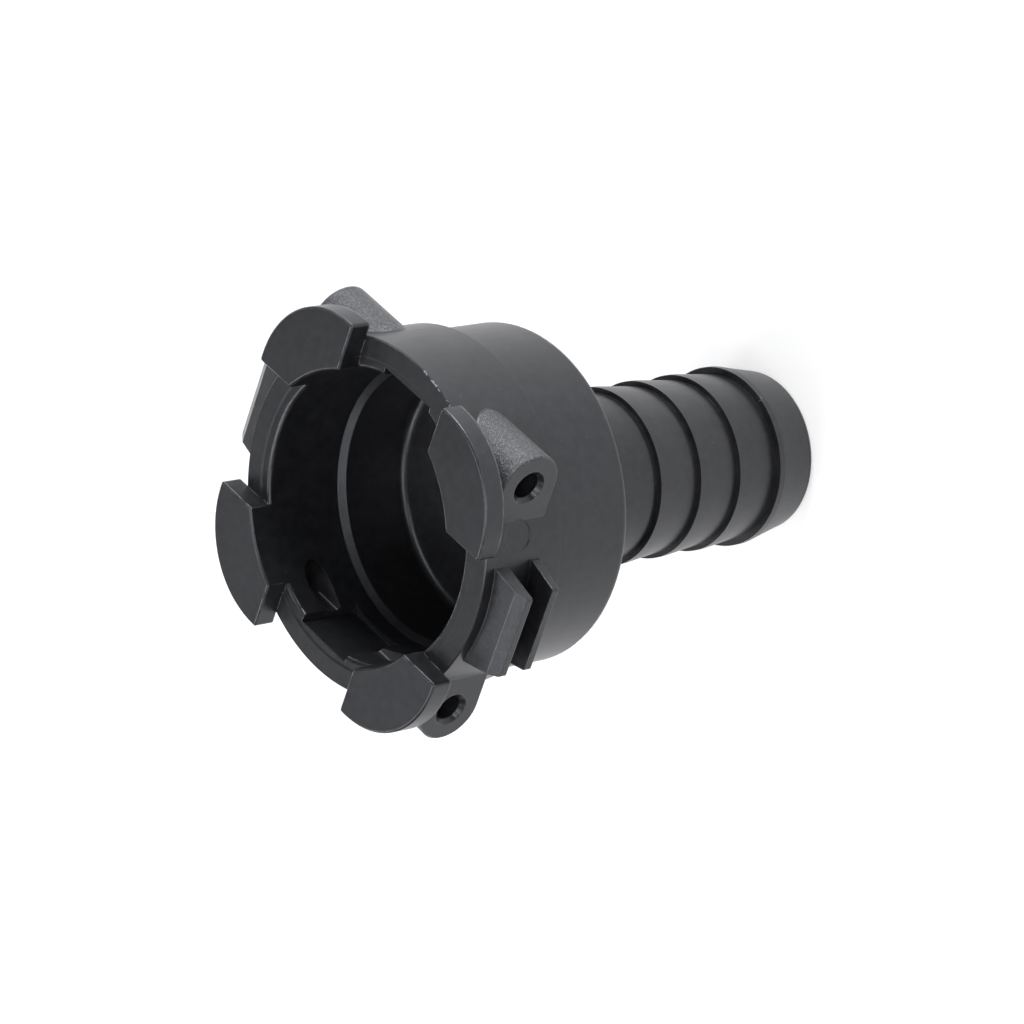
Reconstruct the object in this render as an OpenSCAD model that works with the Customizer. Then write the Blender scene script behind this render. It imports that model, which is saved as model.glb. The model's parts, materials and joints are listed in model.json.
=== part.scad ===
/* [Claws] */
// Width across two neighbouring claws, flat to flat
claw_span = 51.6; // [50:0.2:56]
// Corner radius of the square outline that the claws belong to
claw_corner_r = 14.4; // [12:0.2:18]
// Clear width between two neighbouring claws
claw_gap = 20.8; // [16:0.2:24]
// Height of the claws above the face of the collar
claw_h = 3.3; // [2:0.1:3.8]
// Rounding of each claw's two outer corners, seen along the axis
claw_edge_r = 0.5; // [0.3:0.1:1.2]
// Chamfer along the top edges of the claws
claw_chamfer = 0.25; // [0.05:0.05:0.3]

/* [Collar and drum] */
// Overall length, from the hose end to the faces of the claws
overall_len = 81.5; // [76:0.5:100]
// Outside diameter of the collar behind the claws
collar_d = 52; // [51:0.5:56]
// Depth of the collar's rear shoulder behind the faces of the claws
collar_end = 17.3; // [15:0.1:20]
// Outside diameter of the drum behind the collar
drum_d = 49.5; // [46:0.5:50.5]
// Thickness of the drum's rear wall
drum_wall = 3.5; // [2.5:0.1:6]
// Chamfer along the collar's front edge
collar_chamfer = 0.2; // [0.05:0.05:0.5]
// Rounding of the drum's rear edge
drum_edge_r = 1.2; // [0.4:0.1:2.2]

/* [Socket] */
// Diameter of the seal bore
seal_d = 40; // [36:0.5:40.5]
// Depth of the socket's floor behind the faces of the claws
socket_depth = 28; // [24:0.5:32]
// Depth at which the lead-in cone ends and the seal bore starts
lead_in_end = 17; // [16:0.1:20]
// Length of the lead-in cone
lead_in_len = 0.8; // [0.4:0.1:2]
// Diameter of the guide bore at the lead-in cone
guide_d = 42; // [41:0.1:42.2]
// Diameter of the guide bore at its mouth, and of the claws' inner edges
mouth_d = 42.4; // [42.3:0.1:43.4]
// Rounding of the mouth's edge, between the claws
mouth_edge_r = 0.6; // [0.2:0.1:0.8]
// Width of the shallow recess round the mouth, between the claws
recess_w = 1.8; // [1.2:0.1:2.2]
// Depth of the shallow recess round the mouth
recess_h = 0.25; // [0.1:0.05:0.4]
// Radius between the socket's wall and floor
floor_r = 1.1; // [0.5:0.1:2]
// Distance between the two flats cut in the guide bore
flat_span = 43.5; // [43:0.1:45]
// Width of each flat
flat_w = 10.4; // [6:0.2:14]
// Depth at which the flats end
flat_end = 13.3; // [11.5:0.1:15]

/* [Fork] */
// Wire diameter of the U-shaped fork that locks the plug
wire_d = 3.8; // [3:0.1:4.2]
// Clearance of each leg of the fork in its hole, on the diameter
leg_clearance = 0.2; // [0.1:0.05:0.4]
// Clearance of the fork's back in the slot between the ribs
back_clearance = 0.4; // [0.2:0.05:0.6]
// Distance between the fork's two legs
leg_spacing = 37.8; // [37:0.1:39]
// Depth of the legs behind the faces of the claws
leg_depth = 9.1; // [8.9:0.1:10]
// Width of the countersink at each end of a leg hole
leg_sink_w = 0.65; // [0.3:0.05:0.8]
// Wall of the bosses round the leg holes
boss_wall = 3.1; // [2.2:0.05:3.2]
// Distance between the two end faces of a boss row
boss_span = 44.6; // [41:0.2:48]
// Chamfer round the end faces of the bosses
boss_chamfer = 0.25; // [0.05:0.05:0.6]

/* [Guard ribs] */
// Distance that the front ribs stand out past the collar
front_rib_out = 5.1; // [3:0.1:8]
// Width of the front rib at its root
front_rib_w = 15.6; // [12:0.2:18]
// Thickness of the front rib at its root
front_rib_t = 2.6; // [2.2:0.1:3.2]
// Height of the bevel along the front rib's tip
front_rib_bevel = 1.1; // [0.4:0.1:1.3]
// Distance that the rear ribs stand out past the collar
rear_rib_out = 4.4; // [2.5:0.1:8]
// Width of the rear rib at its root
rear_rib_w = 16.4; // [12:0.2:18]
// Thickness of the rear rib at its tip
rear_rib_t = 1.1; // [0.8:0.1:2]
// Depth of the slot's front wall behind the faces of the claws
slot_start = 7.5; // [7.2:0.1:8.2]

/* [Hose tail] */
// Diameter of the bore through the tail
bore_d = 20; // [14:0.5:21]
// Crest diameter of the teeth
crest_d = 26.5; // [26:0.1:29]
// Crest diameter of the tooth nearest the hose end
last_crest_d = 27.1; // [26.5:0.1:29.5]
// Diameter at the foot of each tooth, and of the neck
root_d = 25; // [24:0.1:25.8]
// Distance from one tooth to the next
tooth_pitch = 8.05; // [6:0.05:9]
// Number of teeth
tooth_count = 4; // [2:1:5]
// Distance from the hose end to the crest of the last tooth
last_crest_z = 8.6; // [6:0.1:10]
// Length of the narrow land on each crest
crest_land = 1; // [0.4:0.1:2]
// Outside diameter at the hose end
nose_d = 24.4; // [23.4:0.1:25]
// Rounding of the hose end's outer edge
nose_r = 1.2; // [0.4:0.1:1.6]

/* [Ejector mark] */
// Diameter of the round mark left by an ejector pin
mark_d = 4.6; // [2:0.2:5]
// Depth of the mark in the side of the collar
mark_depth = 0.12; // [0.05:0.01:0.3]
// Angle of the mark round the collar, from the front ribs' middle
mark_angle = 26.5; // [24:0.5:28]
// Distance of the mark's centre behind the faces of the claws
mark_z = 9.1; // [7:0.1:11]

/* [Hidden] */
$fn = 96;
overlap = 0.5;
claw_top = overall_len;
collar_top = claw_top - claw_h;
land_z = collar_top - recess_h;
shoulder_z = claw_top - collar_end;
shoulder_r = 0.1;
floor_z = claw_top - socket_depth;
drum_z = floor_z - drum_wall;
neck_fillet_r = 1.5;
leg_z = claw_top - leg_depth;
leg_d = wire_d + leg_clearance;
boss_d = leg_d + 2 * boss_wall;
slot_z = claw_top - slot_start;
slot_w = wire_d + back_clearance;
rib_root_x = mouth_d / 2 + 0.3;
rib_straight = 1;
rib_taper = 0.85;
rib_draft = 0.5;
rib_corner_r = 0.45;

function tooth_z(i) = last_crest_z + i * tooth_pitch;
function tooth_d(i) = i == 0 ? last_crest_d : crest_d;

// What a rounded edge of radius r loses: the edge is at the origin, with the material above and to the left
module edge_round(r) {
    difference() {
        translate([-r, -overlap]) square(r + overlap);
        translate([-r, r]) circle(r);
    }
}

// Half section of the tooth nearest the hose end, with its edge rounded
module nose_section() {
    difference() {
        polygon([
            [0, 0],
            [nose_d / 2, 0],
            [nose_d / 2, nose_r],
            [last_crest_d / 2, last_crest_z - crest_land],
            [last_crest_d / 2, last_crest_z],
            [0, last_crest_z]
        ]);
        translate([nose_d / 2, 0]) edge_round(nose_r);
    }
}

// Half section of any other tooth: a square step towards the mouth and a long taper the other way
module tooth_section(i) {
    polygon([
        [0, tooth_z(i - 1)],
        [root_d / 2, tooth_z(i - 1)],
        [tooth_d(i) / 2, tooth_z(i) - crest_land],
        [tooth_d(i) / 2, tooth_z(i)],
        [0, tooth_z(i)]
    ]);
}

// Half section of the neck, with a fillet where it meets the rear of the drum
module neck_section() {
    neck_start = tooth_z(tooth_count - 1);
    translate([0, neck_start]) square([root_d / 2, drum_z + overlap - neck_start]);
    translate([root_d / 2, drum_z]) difference() {
        translate([-overlap, -neck_fillet_r]) square(neck_fillet_r + overlap);
        translate([neck_fillet_r, -neck_fillet_r]) circle(neck_fillet_r);
    }
}

module tail_section() {
    nose_section();
    for (i = [1 : tooth_count - 1]) tooth_section(i);
    neck_section();
}

// Half section of the drum and the collar, with the shoulder between them
module drum_section() {
    difference() {
        union() {
            translate([0, drum_z]) square([drum_d / 2, collar_top - drum_z]);
            translate([0, shoulder_z]) square([collar_d / 2, collar_top - shoulder_z]);
        }
        translate([drum_d / 2, drum_z]) edge_round(drum_edge_r);
        translate([collar_d / 2, shoulder_z]) edge_round(shoulder_r);
        translate([collar_d / 2, collar_top]) polygon([
            [-collar_chamfer - overlap, overlap],
            [overlap, -collar_chamfer - overlap],
            [overlap, overlap]
        ]);
    }
}

// Half section of the hollow: bore, seal bore, lead-in cone, guide bore and the recess round the mouth
module hollow_section() {
    seal_top = claw_top - lead_in_end;
    edge_z = land_z - mouth_edge_r;
    difference() {
        polygon([
            [0, -overlap],
            [bore_d / 2, -overlap],
            [bore_d / 2, floor_z],
            [seal_d / 2, floor_z],
            [seal_d / 2, seal_top],
            [guide_d / 2, seal_top + lead_in_len],
            [mouth_d / 2, edge_z],
            [mouth_d / 2 + mouth_edge_r, edge_z],
            [mouth_d / 2 + mouth_edge_r, land_z],
            [mouth_d / 2 + recess_w - recess_h, land_z],
            [mouth_d / 2 + recess_w, collar_top],
            [mouth_d / 2 + recess_w, claw_top + overlap],
            [0, claw_top + overlap]
        ]);
        translate([seal_d / 2, floor_z]) edge_round(floor_r);
        translate([mouth_d / 2 + mouth_edge_r, edge_z]) circle(mouth_edge_r);
    }
}

// Profile of the claws' square, or of the slot between them: level wide at the foot, top wide at the top
module claw_slab(level, top, length) {
    rotate([90, 0, 0]) linear_extrude(length, center = true) polygon([
        [-level / 2, 0],
        [level / 2, 0],
        [level / 2, claw_h - claw_chamfer],
        [top / 2, claw_h],
        [-top / 2, claw_h],
        [-level / 2, claw_h - claw_chamfer]
    ]);
}

// Square with round corners that all four claws lie in, chamfered along its top edge
module claw_blank() {
    corner = claw_span / 2 - claw_corner_r;
    for (turn = [0, 90]) rotate([0, 0, turn]) claw_slab(claw_span, claw_span - 2 * claw_chamfer, 2 * corner);
    for (x = [-corner, corner], y = [-corner, corner]) translate([x, y, 0]) {
        cylinder(r = claw_corner_r, h = claw_h - claw_chamfer);
        translate([0, 0, claw_h - claw_chamfer])
            cylinder(r1 = claw_corner_r, r2 = claw_corner_r - claw_chamfer, h = claw_chamfer);
    }
}

// What the rounding of one outer corner takes off a claw
module claw_corner_cut() {
    translate([claw_gap / 2, claw_span / 2, 0]) difference() {
        translate([-overlap, -claw_edge_r, 0])
            cube([claw_edge_r + overlap, claw_edge_r + overlap, claw_h + overlap]);
        translate([claw_edge_r, -claw_edge_r, -overlap])
            cylinder(r = claw_edge_r, h = claw_h - claw_chamfer + overlap);
        translate([claw_edge_r, -claw_edge_r, claw_h - claw_chamfer])
            cylinder(r1 = claw_edge_r, r2 = claw_edge_r - claw_chamfer, h = claw_chamfer);
    }
}

// The claws, and the ring under them that closes the recess round the mouth
module claws() {
    lip_h = recess_h + mouth_edge_r + overlap;
    difference() {
        union() {
            translate([0, 0, collar_top]) claw_blank();
            translate([0, 0, collar_top - lip_h])
                cylinder(d = mouth_d + 2 * recess_w + 2 * overlap, h = lip_h + overlap);
        }
        for (turn = [0, 90]) rotate([0, 0, turn]) {
            translate([0, 0, collar_top]) claw_slab(claw_gap, claw_gap + 2 * claw_chamfer, 2 * claw_span);
            translate([-claw_gap / 2, -claw_span, collar_top - lip_h - overlap])
                cube([claw_gap, 2 * claw_span, lip_h + 2 * overlap]);
            translate([-claw_gap / 2, -claw_span, claw_top - overlap])
                cube([claw_gap, 2 * claw_span, 2 * overlap]);
        }
        translate([0, 0, collar_top - lip_h - overlap])
            cylinder(d = mouth_d, h = lip_h + claw_h + 2 * overlap);
        translate([0, 0, claw_top - claw_chamfer])
            cylinder(d1 = mouth_d, d2 = mouth_d + 4 * claw_chamfer, h = 2 * claw_chamfer);
        for (turn = [0 : 3], side = [0, 1]) rotate([0, 0, 90 * turn]) mirror([side, 0, 0])
            translate([0, 0, collar_top]) claw_corner_cut();
    }
}

// Both rows of bosses: round outside, their flat sides running into the collar, chamfered round both ends
module bosses() {
    end = boss_span / 2;
    start = end - boss_chamfer;
    flat = boss_d / 2 - boss_chamfer;
    translate([0, 0, leg_z]) rotate([90, 0, 0]) linear_extrude(leg_spacing, center = true) polygon([
        [end, flat],
        [start, boss_d / 2],
        [-start, boss_d / 2],
        [-end, flat],
        [-end, -flat],
        [-start, -boss_d / 2],
        [start, -boss_d / 2],
        [end, -flat]
    ]);
    for (side = [-1, 1]) translate([0, side * leg_spacing / 2, leg_z]) rotate([0, 90, 0]) {
        cylinder(d = boss_d, h = 2 * start, center = true);
        for (half = [0, 1]) mirror([0, 0, half]) translate([0, 0, start])
            cylinder(d1 = boss_d, d2 = 2 * flat, h = boss_chamfer);
    }
}

// Plan of a rib: it narrows towards its tip, whose two corners are rounded
module rib_plan(root_w, tip_x) {
    tip_y = root_w * rib_taper / 2 - rib_corner_r;
    hull() {
        translate([rib_root_x, -root_w / 2]) square([collar_d / 2 - rib_straight - rib_root_x, root_w]);
        for (y = [-tip_y, tip_y]) translate([tip_x - rib_corner_r, y]) circle(rib_corner_r, $fn = 32);
    }
}

// A rib: its plan, trimmed to the side profile given by the children
module rib(root_w, tip_x) {
    intersection() {
        translate([0, 0, shoulder_z]) linear_extrude(collar_end - claw_h) rib_plan(root_w, tip_x);
        translate([0, root_w, 0]) rotate([90, 0, 0]) linear_extrude(2 * root_w) children();
    }
}

module front_rib() {
    tip = collar_d / 2 + front_rib_out;
    face_z = slot_z + front_rib_t;
    rib(front_rib_w, tip) polygon([
        [0, slot_z],
        [tip, slot_z],
        [tip, face_z - rib_draft - front_rib_bevel],
        [tip - 1.5 * front_rib_bevel, face_z - rib_draft],
        [rib_root_x, face_z],
        [0, face_z]
    ]);
}

module rear_rib() {
    tip = collar_d / 2 + rear_rib_out;
    back_z = slot_z - slot_w;
    rib(rear_rib_w, tip) polygon([
        [0, back_z],
        [tip, back_z],
        [tip, back_z - rear_rib_t],
        [rib_root_x, back_z - rear_rib_t - rib_draft],
        [0, back_z - rear_rib_t - rib_draft]
    ]);
}

module guard_ribs() {
    for (side = [0, 1]) mirror([side, 0, 0]) union() {
        front_rib();
        rear_rib();
    }
}

// The two flats that let the plug's keys pass down the guide bore
module flats() {
    translate([-flat_w / 2, -flat_span / 2, claw_top - flat_end]) cube([flat_w, flat_span, flat_end + overlap]);
}

// Hole for one leg of the fork, right through both bosses of its row, countersunk at both ends
module leg_hole(side) {
    translate([0, side * leg_spacing / 2, leg_z]) rotate([0, 90, 0]) {
        cylinder(d = leg_d, h = boss_span + 2 * overlap, center = true);
        for (end = [0, 1]) mirror([0, 0, end]) translate([0, 0, boss_span / 2 - leg_sink_w])
            cylinder(d1 = leg_d, d2 = leg_d + 2 * (leg_sink_w + overlap), h = leg_sink_w + overlap);
    }
}

module ejector_mark() {
    rotate([0, 0, mark_angle]) translate([collar_d / 2 - mark_depth, 0, claw_top - mark_z])
        rotate([0, 90, 0]) cylinder(d = mark_d, h = 1);
}

module coupling_body() {
    color([0.13, 0.13, 0.14]) difference() {
        union() {
            difference() {
                union() {
                    rotate_extrude() tail_section();
                    rotate_extrude() drum_section();
                    bosses();
                    guard_ribs();
                }
                rotate_extrude() hollow_section();
            }
            claws();
        }
        flats();
        for (side = [-1, 1]) leg_hole(side);
        ejector_mark();
    }
}

coupling_body();
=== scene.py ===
import json
import math

import bpy
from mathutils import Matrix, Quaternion, Vector


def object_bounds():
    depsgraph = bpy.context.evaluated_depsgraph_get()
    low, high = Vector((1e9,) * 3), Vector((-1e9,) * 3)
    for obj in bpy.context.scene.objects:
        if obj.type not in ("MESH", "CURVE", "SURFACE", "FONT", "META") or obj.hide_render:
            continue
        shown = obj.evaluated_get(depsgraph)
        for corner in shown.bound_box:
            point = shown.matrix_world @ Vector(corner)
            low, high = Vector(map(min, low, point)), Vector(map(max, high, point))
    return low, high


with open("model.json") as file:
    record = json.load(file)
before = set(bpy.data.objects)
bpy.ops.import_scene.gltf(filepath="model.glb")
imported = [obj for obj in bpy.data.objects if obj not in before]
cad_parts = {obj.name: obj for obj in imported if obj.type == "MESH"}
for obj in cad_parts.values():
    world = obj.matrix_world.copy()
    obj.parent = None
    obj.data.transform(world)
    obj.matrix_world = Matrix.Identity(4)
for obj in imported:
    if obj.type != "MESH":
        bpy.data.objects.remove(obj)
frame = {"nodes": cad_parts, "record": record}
cad_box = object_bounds()

MM = 0.001
UP = (0.0, 0.0, 1.0)
WHITE = (1.0, 1.0, 1.0, 1.0)

# The photograph's camera, fitted to the part: lengths in metres, angles in degrees
CAMERA_AIM = Vector((-1.86, -5.40, 46.38)) * MM
CAMERA_DISTANCE = 705.9 * MM
CAMERA_AZIMUTH = 130.46
CAMERA_ELEVATION = 41.12
CAMERA_ROLL = 99.92
CAMERA_LENS_MM = 170.16
CAMERA_SENSOR_MM = 36.0
CAMERA_RANGE = (0.01, 20.0)

# The fork's holes, the seal bore and the socket's floor, from the part's mounts
MOUNTS = {mount["name"]: mount for mount in frame["record"]["mounts"]}
LEG_Y, LEG_Z = MOUNTS["fork_leg_a"]["pos_m"][1:]
LEG_HOLE_R = MOUNTS["fork_leg_a"]["dims"]["r_mm"] * MM
SEAL_R = MOUNTS["plug_socket"]["dims"]["r_mm"] * MM
SOCKET_FLOOR_Z = MOUNTS["flow_bore"]["dims"]["length_mm"] * MM

# Heights of the collar, the slot for the fork's back and the rear shoulder, below the claws' faces
CLAW_TOP_Z = cad_box[1][2]
COLLAR_FACE_Z = CLAW_TOP_Z - 3.3 * MM
SLOT_TOP_Z = CLAW_TOP_Z - 7.5 * MM
SLOT_FLOOR_Z = CLAW_TOP_Z - 11.7 * MM
SHOULDER_Z = CLAW_TOP_Z - 17.3 * MM

# Radii of the collar, drum, guide bore and recess, and where the bosses and ribs end
COLLAR_R = 26.0 * MM
DRUM_R = 24.75 * MM
GUIDE_R = 21.5 * MM
RECESS_EDGE_R = 22.875 * MM
BOSS_END_X = 22.3 * MM
RIB_SIDE_Y = 9.0 * MM

# The hose tail: its top, the heights between which its teeth slope, and how steep slopes and lands are
TAIL_TOP_Z = 45.0 * MM
TEETH_TOP_Z = 33.6 * MM
TEETH_FOOT_Z = 5.0 * MM
TOOTH_SLOPE = 0.107
LAND_STEEPNESS = 0.03

# How far each zone of the finish reaches from the form that it follows
ON_FACE = 0.02 * MM
ON_HOLE_WALL = 0.04 * MM
ON_SOCKET_WALL = 0.1 * MM
GRAIN_FADE = 0.25 * MM
GRAIN_BELOW_FACE = 0.2 * MM
WEAR_AND_HIGHLIGHT_ABOVE_FACE = 0.25 * MM
SLOT_MARGIN = 0.1 * MM
COUNTERSINK_WIDTH = 1.0 * MM
COUNTERSINK_DEPTH = 1.5 * MM
SHOULDER_REACH = 0.5 * MM
SHOULDER_WIDTH = 1.0 * MM
GUIDE_REACH = 4.5 * MM
GROOVE_REACH = 12.0 * MM
COLLAR_EDGE_REACH = 0.6 * MM
RECESS_REACH = 0.5 * MM
RECESS_STEP = 0.2 * MM
RECESS_BELOW_FACE = 0.4 * MM
CORNER_REACH = 2.0 * MM

# Rounding of edges in the shading, and the cosine of the normal's turn where the edges' wear and painted
# highlight start and are full
EDGE_R = 0.25 * MM
CRISP_EDGE_R = 0.03 * MM
CORNER_R = 0.7 * MM
EDGE_SAMPLES = 8
EDGE_START = 0.995
EDGE_FULL = 0.93
STEP_SOFTNESS = 0.8
ALMOST_ROUND = 0.997

# Marks: flash on the collar's edge, a flash line behind the claws with a painted highlight, nick in the
# last tooth, and a painted glint line in the bore
FLASH_PLACE = Vector((5.3, 25.4, 78.2)) * MM
FLASH_REACH = 3.6 * MM
FLASH_WIDTH = 0.22 * MM
PARTING_HIGHLIGHT_ABOVE_FACE = 0.1 * MM
PARTING_HIGHLIGHT_WIDTH = 0.15 * MM
PARTING_HIGHLIGHT_STRENGTH = 0.45
NICK_PLACE = Vector((3.7, 13.0, 8.6)) * MM
NICK_REACH = 0.55 * MM
NICK_STRENGTH = 0.5
BORE_GLINT_OUT = 1.87 * MM
BORE_GLINT_DOWN = 0.72 * MM
BORE_GLINT_WIDTH = 0.14 * MM
BORE_GLINT_REACH = 9.7 * MM

# Noise of the finish: how fine it is, its detail and its roughness, and the part of its range that counts
PATCHES = {"per_mm": 0.8, "detail": 3.0, "roughness": 0.7}
PATCH_RANGE = (0.35, 0.65)
PATCH_LEAST = 0.15
CRUMBS = {"per_mm": 2.4}
CRUMB_LEVEL = 0.55
MOTTLE = {"per_mm": 0.6, "detail": 5.0, "roughness": 0.65}
MOTTLE_RANGE = (0.35, 0.7)
WAVES = {"per_mm": 0.1}
FLOW_LINES = {"per_mm": 1.6, "detail": 3.0}
FLOW_STRETCH = (1.0, 1.0, 0.12)
FLOW_SHARE = 0.6
GLOSS_RANGE = (0.55, 1.05)
FINE_GRAIN = {"per_mm": 3.0, "detail": 4.0, "roughness": 0.7}
SPARK_GRAIN = {"per_mm": 2.8, "detail": 3.0, "roughness": 0.8}
GLINT_FLECK_RANGE = (0.5, 0.64)

# Specks of dust: cells per millimetre, the cells that hold one, and its size as a part of the cell
SPECK_CELLS = 0.8
SPECK_RANGE = (0.5, 1.0)
SPECK_SIZE = 0.11

# Depth of the grain, how much of the bosses' grain the ribs have, and how strong its painted glint flecks
# are
FINE_DEPTH = 0.008 * MM
FINE_STRENGTH = 0.4
SPARK_DEPTH = 0.16 * MM
RIB_GRAIN = 0.18
GLINT_FLECK_SHARE = 0.7

# Roughness where the mould was polished, and what each zone adds to it
SMOOTHEST = 0.32
ROUGHEST = 0.375
GRAIN_ROUGHNESS = 0.03
GROOVE_ROUGHNESS = 0.3
COUNTERSINK_ROUGHNESS = -0.06
DUST_ROUGHNESS = 0.3
PLASTIC_IOR = 1.5

NYLON = (0.0070, 0.0072, 0.0080, 1.0)
NYLON_PALE = (0.0150, 0.0153, 0.0168, 1.0)
NYLON_GRAINY = (0.0225, 0.0225, 0.0238, 1.0)
# Pale flecks on the coarse grain: painted glints
NYLON_GLINT_FLECK = (0.125, 0.125, 0.131, 1.0)
# Paler along edges: wear, and a painted highlight on the edges
NYLON_WORN_AND_HIGHLIT = (0.095, 0.096, 0.102, 1.0)
# Flash and nicks, and painted highlight and glint lines
MARK_AND_GLINT = (0.17, 0.17, 0.177, 1.0)
DUST = (0.075, 0.075, 0.078, 1.0)
SHEEN_TINT = (0.93, 0.945, 1.0, 1.0)

# Pale floor: its lift to white is part at the object and full far from it
FLOOR = (0.50, 0.50, 0.50, 1.0)
FLOOR_LIFT = 0.53
LIT_RADIUS = 0.3
FAR_RADIUS = 1.0
FLOOR_HALF_WIDTH = 3.0

# Round lamps that face the part: name, direction from the part, power in watts, width
LAMP_AIM = Vector((0.0, 0.0, 45.0)) * MM
LAMP_DISTANCE = 0.9
LAMP_TINT = (0.975, 0.98, 1.0)
SOFTBOX = 0.34
SPOT = 0.10
LAMPS = [
    ("key", (-0.31, 0.94, 0.15), 11.0, SOFTBOX),
    ("rim", (-0.75, 0.62, 0.22), 2.1, SOFTBOX),
    ("overhead", (-0.15, 0.14, 0.98), 2.0, SOFTBOX),
    ("front_high", (0.49, 0.41, 0.77), 1.3, SOFTBOX),
    ("front_mid", (0.71, 0.10, 0.70), 2.0, SOFTBOX),
    ("front_near", (0.57, -0.13, 0.81), 0.7, SOFTBOX),
    ("front_low", (0.71, -0.54, 0.45), 0.6, SOFTBOX),
    ("right_near", (0.22, -0.47, 0.85), 2.8, SOFTBOX),
    ("right_mid", (-0.20, -0.39, 0.90), 1.2, SOFTBOX),
    ("right_low", (-0.27, -0.75, 0.60), 2.1, SOFTBOX),
    ("glint", (0.82, 0.42, 0.39), 0.8, SPOT),
    ("far_mid", (-0.67, -0.52, 0.53), 0.2, SOFTBOX),
    ("far_low", (-0.84, -0.54, 0.06), 2.0, SOFTBOX),
]


def camera_axes():
    """Up and back of the photograph's camera, in the part's frame."""
    a = math.radians(CAMERA_AZIMUTH)
    e = math.radians(CAMERA_ELEVATION)
    back = Vector((math.sin(a) * math.cos(e), -math.cos(a) * math.cos(e), math.sin(e)))
    level_up = Vector((-math.sin(a) * math.sin(e), math.cos(a) * math.sin(e), math.cos(e)))
    level_right = level_up.cross(back)
    roll = math.radians(CAMERA_ROLL)
    up = level_up * math.cos(roll) + level_right * math.sin(roll)
    return up, back


def rotation_from(up, back):
    """Rotation that takes Y to up and Z to back."""
    first = back.to_track_quat("Z", "Y")
    turned_up = first @ Vector((0, 1, 0))
    angle = math.atan2(turned_up.cross(up).dot(back), turned_up.dot(up))
    return Quaternion(back, angle) @ first


def place_object(name, data, location, rotation):
    """Camera or lamp at its place in the scene."""
    made = bpy.data.objects.new(name, data)
    made.rotation_mode = "QUATERNION"
    made.rotation_quaternion = rotation
    made.location = location
    bpy.context.scene.collection.objects.link(made)
    return made


def make_camera():
    up, back = camera_axes()
    data = bpy.data.cameras.new("camera")
    data.lens = CAMERA_LENS_MM
    data.sensor_width = CAMERA_SENSOR_MM
    data.clip_start, data.clip_end = CAMERA_RANGE
    location = CAMERA_AIM + back * CAMERA_DISTANCE
    bpy.context.scene.camera = place_object("camera", data, location, rotation_from(up, back))


def make_lamps():
    for name, direction, power, width in LAMPS:
        toward = Vector(direction).normalized()
        data = bpy.data.lights.new(name, "AREA")
        data.shape = "DISK"
        data.size = width
        data.energy = power
        data.color = LAMP_TINT
        place_object(name, data, LAMP_AIM + toward * LAMP_DISTANCE, toward.to_track_quat("Z", "Y"))


class Graph:
    """Short calls that add shader nodes to one material or world. A mask is 0 to 1."""

    def __init__(self, owner):
        owner.use_nodes = True
        self.tree = owner.node_tree
        self.tree.nodes.clear()

    def fill(self, socket, value):
        """Link the socket to another one, or give it a plain value."""
        if isinstance(value, bpy.types.NodeSocket):
            self.tree.links.new(value, socket)
        else:
            socket.default_value = value

    def node(self, kind, inputs=None, **settings):
        made = self.tree.nodes.new(kind)
        for key, value in settings.items():
            setattr(made, key, value)
        for key, value in (inputs or {}).items():
            self.fill(made.inputs[key], value)
        return made

    def math(self, operation, a, b=0.0, clamp=False):
        return self.node("ShaderNodeMath", {0: a, 1: b}, operation=operation, use_clamp=clamp).outputs[0]

    def vector(self, operation, a, b=(0.0, 0.0, 0.0)):
        return self.node("ShaderNodeVectorMath", {0: a, 1: b}, operation=operation).outputs

    def ramp(self, value, low, high, to_low=0.0, to_high=1.0):
        """Straight map from low..high to to_low..to_high, held at both ends."""
        inputs = {"Value": value, "From Min": low, "From Max": high, "To Min": to_low, "To Max": to_high}
        return self.node("ShaderNodeMapRange", inputs, clamp=True).outputs["Result"]

    def noise(self, place, per_mm, detail=2.0, roughness=0.5):
        inputs = {"Vector": place, "Scale": per_mm / MM, "Detail": detail, "Roughness": roughness}
        return self.node("ShaderNodeTexNoise", inputs).outputs["Fac"]

    def bump(self, height, depth, strength, normal):
        inputs = {"Strength": strength, "Distance": depth, "Height": height, "Normal": normal}
        return self.node("ShaderNodeBump", inputs).outputs["Normal"]

    def inside(self, value, limit):
        return self.math("LESS_THAN", value, limit)

    def outside(self, value, limit):
        return self.math("GREATER_THAN", value, limit)

    def between(self, value, low, high):
        return self.every(self.outside(value, low), self.inside(value, high))

    def near(self, value, centre, reach):
        """1 where value is less than reach from centre."""
        return self.inside(self.math("ABSOLUTE", self.math("SUBTRACT", value, centre)), reach)

    def every(self, *masks):
        """How far all masks hold together: their product."""
        total = masks[0]
        for mask in masks[1:]:
            total = self.math("MULTIPLY", total, mask)
        return total

    def either(self, *masks):
        """How far any of the masks holds: their sum, held at 1."""
        total = masks[0]
        for mask in masks[1:]:
            total = self.math("ADD", total, mask, clamp=True)
        return total

    def scaled(self, mask, strength):
        return self.math("MULTIPLY", mask, strength)

    def hypot(self, a, b):
        squares = self.math("ADD", self.math("MULTIPLY", a, a), self.math("MULTIPLY", b, b))
        return self.math("SQRT", squares)

    def distance(self, place, point):
        return self.vector("DISTANCE", place, point)["Value"]

    def blend_normal(self, factor, a, b):
        change = self.vector("SUBTRACT", b, a)["Vector"]
        part = self.node("ShaderNodeVectorMath", {0: change, "Scale": factor}, operation="SCALE")
        total = self.vector("ADD", a, part.outputs["Vector"])["Vector"]
        return self.vector("NORMALIZE", total)["Vector"]

    def mix_colour(self, factor, a, b):
        made = self.node("ShaderNodeMix", data_type="RGBA", clamp_factor=True)
        self.fill(made.inputs["Factor"], factor)
        self.fill(made.inputs[6], a)
        self.fill(made.inputs[7], b)
        return made.outputs[2]


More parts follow.
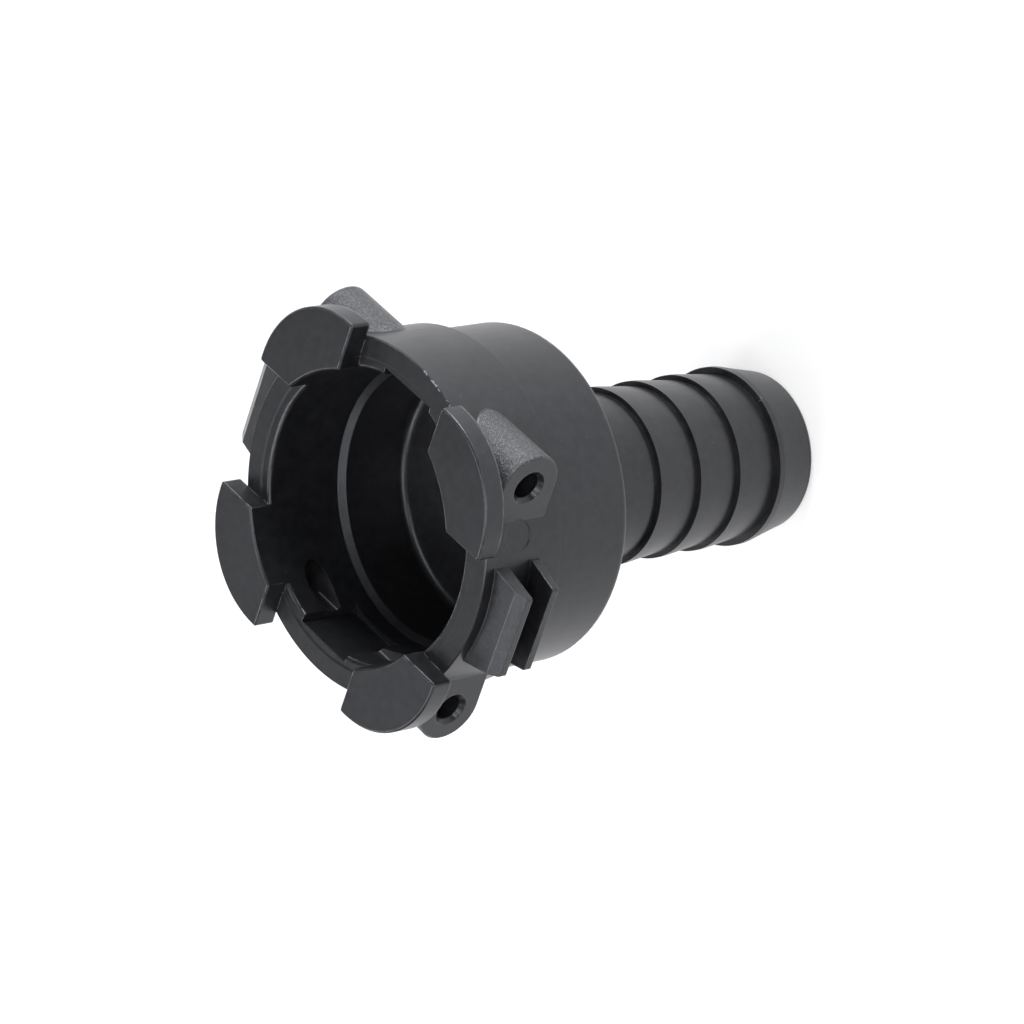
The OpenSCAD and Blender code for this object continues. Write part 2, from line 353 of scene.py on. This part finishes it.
class Spot:
    """Where the shaded point lies on the part, as sockets: lengths in metres, and zones as masks."""

    def __init__(self, g):
        self.place = g.node("ShaderNodeTexCoord").outputs["Object"]
        self.x, self.y, self.z = g.node("ShaderNodeSeparateXYZ", {"Vector": self.place}).outputs
        self.side_x = g.math("ABSOLUTE", self.x)
        self.side_y = g.math("ABSOLUTE", self.y)
        self.radius = g.hypot(self.x, self.y)
        self.leg_side = g.math("SUBTRACT", self.side_y, LEG_Y)
        self.leg_height = g.math("SUBTRACT", self.z, LEG_Z)
        self.from_leg = g.hypot(self.leg_side, self.leg_height)
        past_rim = g.math("SUBTRACT", self.radius, COLLAR_R)
        past_face = g.math("SUBTRACT", self.z, COLLAR_FACE_Z)
        self.from_collar_edge = g.hypot(past_rim, past_face)
        # Only claws, bosses and ribs stand out past the collar
        self.past_collar = g.ramp(self.radius, COLLAR_R + ON_FACE, COLLAR_R + GRAIN_FADE)
        self.in_hole = g.inside(self.from_leg, LEG_HOLE_R + ON_HOLE_WALL)
        self.at_hole = g.inside(self.from_leg, LEG_HOLE_R + COUNTERSINK_WIDTH)


def grain_masks(g, at):
    """Where bosses and ribs are grainy, and how coarse. Their ends, the slot and the holes are smooth."""
    beside_ribs = g.outside(at.side_y, RIB_SIDE_Y)
    end_face = g.every(g.outside(at.side_x, BOSS_END_X - ON_FACE), beside_ribs)
    in_slot = g.between(at.z, SLOT_FLOOR_Z - SLOT_MARGIN, SLOT_TOP_Z + SLOT_MARGIN)
    slot_wall = g.every(in_slot, g.inside(at.side_y, RIB_SIDE_Y))
    smooth = g.either(end_face, slot_wall, at.at_hole)
    behind_claws = g.inside(at.z, COLLAR_FACE_Z - GRAIN_BELOW_FACE)
    grainy = g.every(at.past_collar, behind_claws, g.math("SUBTRACT", 1.0, smooth))
    share = g.ramp(beside_ribs, low=0.0, high=1.0, to_low=RIB_GRAIN)
    return grainy, g.every(grainy, share)


def edge_rounding(g, at):
    """Radius of the edges: crisp at shoulder, tail, guide, holes, recess and collar, soft at the floor."""
    shoulder_ring = g.outside(at.radius, DRUM_R - SHOULDER_WIDTH)
    at_shoulder = g.every(g.near(at.z, SHOULDER_Z, SHOULDER_REACH), shoulder_ring)
    on_tail = g.inside(at.z, TAIL_TOP_Z)
    in_guide = g.every(g.inside(at.radius, GUIDE_R), g.near(at.z, LEG_Z, GUIDE_REACH))
    near_face = g.outside(at.z, COLLAR_FACE_Z - RECESS_BELOW_FACE)
    at_recess = g.every(g.near(at.radius, RECESS_EDGE_R, RECESS_REACH), near_face)
    at_collar_edge = g.inside(at.from_collar_edge, COLLAR_EDGE_REACH)
    crisp = g.either(at_shoulder, on_tail, in_guide, at.in_hole, at_recess, at_collar_edge)
    near_wall = g.between(at.radius, SEAL_R - CORNER_REACH, SEAL_R + ON_SOCKET_WALL)
    near_floor = g.between(at.z, SOCKET_FLOOR_Z - ON_SOCKET_WALL, SOCKET_FLOOR_Z + CORNER_REACH)
    floor_corner = g.every(near_wall, near_floor)
    sharpened = g.ramp(crisp, low=0.0, high=1.0, to_low=EDGE_R, to_high=CRISP_EDGE_R)
    return g.math("ADD", sharpened, g.scaled(floor_corner, CORNER_R))


def trued_round(g, normal, at):
    """The normal behind the collar, swung straight out from the part's axis where it almost is already."""
    parts = g.node("ShaderNodeSeparateXYZ", {"Vector": normal}).outputs
    out_x = g.math("DIVIDE", at.x, at.radius)
    out_y = g.math("DIVIDE", at.y, at.radius)
    outward = g.math("ADD", g.math("MULTIPLY", parts["X"], out_x), g.math("MULTIPLY", parts["Y"], out_y))
    level = g.hypot(parts["X"], parts["Y"])
    close = g.outside(g.math("ABSOLUTE", outward), g.scaled(level, ALMOST_ROUND))
    straight_x = g.math("MULTIPLY", out_x, outward)
    straight_y = g.math("MULTIPLY", out_y, outward)
    straight = g.node("ShaderNodeCombineXYZ", {"X": straight_x, "Y": straight_y, "Z": parts["Z"]})
    where = g.every(close, g.inside(at.z, SHOULDER_Z))
    return g.blend_normal(where, normal, straight.outputs["Vector"])


def softened_crests(g, normal, true_normal, at):
    """The normal, with the short lands of the tail's teeth shaded as part of their slopes."""
    steepness = g.math("ABSOLUTE", g.node("ShaderNodeSeparateXYZ", {"Vector": true_normal}).outputs["Z"])
    on_land = g.every(g.inside(steepness, LAND_STEEPNESS), g.between(at.z, TEETH_FOOT_Z, TEETH_TOP_Z))
    tilt = g.node("ShaderNodeCombineXYZ", {"Z": g.scaled(on_land, -TOOTH_SLOPE)}).outputs["Vector"]
    return g.vector("NORMALIZE", g.vector("ADD", normal, tilt)["Vector"])["Vector"]


def shaded_edges(g, at):
    """The normal with its edges rounded, and a mask of those edges."""
    true_normal = g.node("ShaderNodeNewGeometry").outputs["Normal"]
    bevel = g.node("ShaderNodeBevel", {"Radius": edge_rounding(g, at)}, samples=EDGE_SAMPLES)
    rounded = bevel.outputs["Normal"]
    edge = g.ramp(g.vector("DOT_PRODUCT", rounded, true_normal)["Value"], EDGE_START, EDGE_FULL)
    step_height = g.between(at.z, COLLAR_FACE_Z - RECESS_BELOW_FACE, COLLAR_FACE_Z)
    on_step = g.every(g.near(at.radius, RECESS_EDGE_R, RECESS_STEP), step_height)
    stepped = g.blend_normal(g.scaled(on_step, STEP_SOFTNESS), rounded, UP)
    return softened_crests(g, trued_round(g, stepped, at), true_normal, at), edge


def mould_marks_and_glints(g, at, patchy):
    """Flash on the collar's edge, a flash line behind the claws with a painted highlight on it, a nick in
    the last tooth, and a painted glint line along the fork's grooves in the bore.
    """
    crumbs = g.outside(g.noise(at.place, **CRUMBS), CRUMB_LEVEL)
    by_flash = g.inside(g.distance(at.place, FLASH_PLACE), FLASH_REACH)
    flash = g.every(by_flash, g.inside(at.from_collar_edge, FLASH_WIDTH), crumbs)
    # Flash line at the claws' foot, painted paler as a highlight too
    on_parting_highlight = g.near(at.z, COLLAR_FACE_Z + PARTING_HIGHLIGHT_ABOVE_FACE, PARTING_HIGHLIGHT_WIDTH)
    parting_and_highlight = g.every(on_parting_highlight, at.past_collar, patchy)
    nick = g.every(g.inside(g.distance(at.place, NICK_PLACE), NICK_REACH), crumbs)
    # Painted glint: a pale line along the grooves where the fork's holes cross the bore
    bore_glint_side = g.math("SUBTRACT", at.leg_side, BORE_GLINT_OUT)
    bore_glint_height = g.math("ADD", at.leg_height, BORE_GLINT_DOWN)
    on_bore_glint = g.inside(g.hypot(bore_glint_side, bore_glint_height), BORE_GLINT_WIDTH)
    bore_glint = g.every(on_bore_glint, g.inside(at.side_x, BORE_GLINT_REACH))
    faint = g.either(g.scaled(nick, NICK_STRENGTH), g.scaled(parting_and_highlight, PARTING_HIGHLIGHT_STRENGTH))
    return g.either(flash, bore_glint, faint)


def dust_specks(g, at):
    """Specks of dust and lint, of different sizes."""
    specks = g.node("ShaderNodeTexVoronoi", {"Vector": at.place, "Scale": SPECK_CELLS / MM}).outputs
    size = g.ramp(specks["Color"], *SPECK_RANGE, to_high=SPECK_SIZE)
    return g.inside(specks["Distance"], size)


def nylon_colour(g, at, coarse, spark_grain, wear_and_highlight, marks_and_glints, dust):
    """Mottled black, greyer where it is grainy, with painted glint flecks on the coarse grain, paler along
    edges from wear and a painted highlight, marked with flash, nicks and painted highlight and glint
    lines, or dusty.
    """
    mottle = g.ramp(g.noise(at.place, **MOTTLE), *MOTTLE_RANGE)
    plain = g.mix_colour(mottle, NYLON, NYLON_PALE)
    grained = g.mix_colour(g.ramp(coarse, low=RIB_GRAIN, high=1.0), plain, NYLON_GRAINY)
    # Painted glints: pale flecks on the coarse grain
    glint_flecks = g.every(coarse, g.ramp(spark_grain, *GLINT_FLECK_RANGE))
    glint_flecked = g.mix_colour(g.scaled(glint_flecks, GLINT_FLECK_SHARE), grained, NYLON_GLINT_FLECK)
    # Edges paler: wear and a painted highlight
    worn_and_highlit = g.mix_colour(wear_and_highlight, glint_flecked, NYLON_WORN_AND_HIGHLIT)
    # Flash and nicks, with painted highlight and glint lines
    marked_and_glinting = g.mix_colour(marks_and_glints, worn_and_highlit, MARK_AND_GLINT)
    return g.mix_colour(dust, marked_and_glinting, DUST)


def nylon_roughness(g, at, grainy, dust):
    """Satin with faint flow lines: duller on grain, dust and the fork's grooves, not in countersinks."""
    drawn_out = g.node("ShaderNodeMapping", {"Vector": at.place, "Scale": FLOW_STRETCH}).outputs["Vector"]
    flow = g.scaled(g.noise(drawn_out, **FLOW_LINES), FLOW_SHARE)
    waves = g.math("ADD", g.noise(at.place, **WAVES), flow)
    total = g.ramp(waves, *GLOSS_RANGE, to_low=SMOOTHEST, to_high=ROUGHEST)
    groove = g.every(at.in_hole, g.inside(at.side_x, GROOVE_REACH))
    beyond_wall = g.outside(at.from_leg, LEG_HOLE_R + ON_HOLE_WALL)
    by_end = g.between(at.side_x, BOSS_END_X - COUNTERSINK_DEPTH, BOSS_END_X - ON_FACE)
    countersink = g.every(at.at_hole, beyond_wall, by_end)
    changes = (
        (grainy, GRAIN_ROUGHNESS),
        (groove, GROOVE_ROUGHNESS),
        (countersink, COUNTERSINK_ROUGHNESS),
        (dust, DUST_ROUGHNESS),
    )
    for mask, change in changes:
        total = g.math("ADD", total, g.scaled(mask, change))
    return total


def moulded_nylon():
    """Black nylon: smooth where the mould was polished, grainy on bosses and ribs, worn and painted with a
    highlight along edges.
    """
    material = bpy.data.materials.new("moulded_nylon")
    g = Graph(material)
    at = Spot(g)
    grainy, coarse = grain_masks(g, at)
    normal, edge = shaded_edges(g, at)
    patchy = g.ramp(g.noise(at.place, **PATCHES), *PATCH_RANGE, to_low=PATCH_LEAST)
    # Where edges are painted paler, on the claws, bosses and ribs: wear and a painted highlight
    wear_and_highlight_zone = g.either(g.outside(at.z, COLLAR_FACE_Z + WEAR_AND_HIGHLIGHT_ABOVE_FACE), at.past_collar)
    wear_and_highlight = g.every(edge, wear_and_highlight_zone, patchy)
    # Flash, nicks, and painted highlight and glint lines
    marks_and_glints = mould_marks_and_glints(g, at, patchy)
    dust = dust_specks(g, at)
    spark_grain = g.noise(at.place, **SPARK_GRAIN)
    fine_bump = g.bump(g.noise(at.place, **FINE_GRAIN), FINE_DEPTH, FINE_STRENGTH, normal)
    shader = g.node(
        "ShaderNodeBsdfPrincipled",
        {
            "Base Color": nylon_colour(g, at, coarse, spark_grain, wear_and_highlight, marks_and_glints, dust),
            "Roughness": nylon_roughness(g, at, grainy, dust),
            "Normal": g.bump(spark_grain, SPARK_DEPTH, coarse, fine_bump),
            "IOR": PLASTIC_IOR,
            "Specular Tint": SHEEN_TINT,
        },
    )
    g.node("ShaderNodeOutputMaterial", {"Surface": shader.outputs["BSDF"]})
    return material


def seen_directly(g):
    """1 for rays from the camera and for those a glossy or clear surface sends on, else 0."""
    path = g.node("ShaderNodeLightPath").outputs
    return g.either(path["Is Glossy Ray"], path["Is Transmission Ray"], path["Is Camera Ray"])


def pale_floor():
    """Grey floor that keeps the part's shadow, lifted to white only where it is seen."""
    material = bpy.data.materials.new("pale_floor")
    g = Graph(material)
    from_part = g.distance(g.node("ShaderNodeTexCoord").outputs["Object"], (0.0, 0.0, 0.0))
    lift_here = g.ramp(from_part, low=LIT_RADIUS, high=FAR_RADIUS, to_low=FLOOR_LIFT)
    strength = g.every(seen_directly(g), lift_here)
    diffuse = g.node("ShaderNodeBsdfDiffuse", {"Color": FLOOR}).outputs["BSDF"]
    lift = g.node("ShaderNodeEmission", {"Color": WHITE, "Strength": strength}).outputs["Emission"]
    total = g.node("ShaderNodeAddShader", {0: diffuse, 1: lift}).outputs[0]
    g.node("ShaderNodeOutputMaterial", {"Surface": total})
    return material


def make_floor():
    mesh = bpy.data.meshes.new("floor")
    half = FLOOR_HALF_WIDTH
    corners = [(-half, -half, 0), (half, -half, 0), (half, half, 0), (-half, half, 0)]
    mesh.from_pydata(corners, [], [(0, 1, 2, 3)])
    floor = bpy.data.objects.new("floor", mesh)
    mesh.materials.append(pale_floor())
    bpy.context.scene.collection.objects.link(floor)


def make_world():
    """White beyond the floor, which the camera sees and which puts no light on the part."""
    world = bpy.data.worlds.new("studio")
    bpy.context.scene.world = world
    g = Graph(world)
    seen = g.node("ShaderNodeLightPath").outputs["Is Camera Ray"]
    background = g.node("ShaderNodeBackground", {"Color": WHITE, "Strength": seen})
    g.node("ShaderNodeOutputWorld", {"Surface": background.outputs["Background"]})


bpy.context.scene.view_settings.view_transform = "Standard"
make_camera()
make_world()
make_floor()
make_lamps()
body = frame["nodes"]["coupling_body"]
body.material_slots[0].material = moulded_nylon()
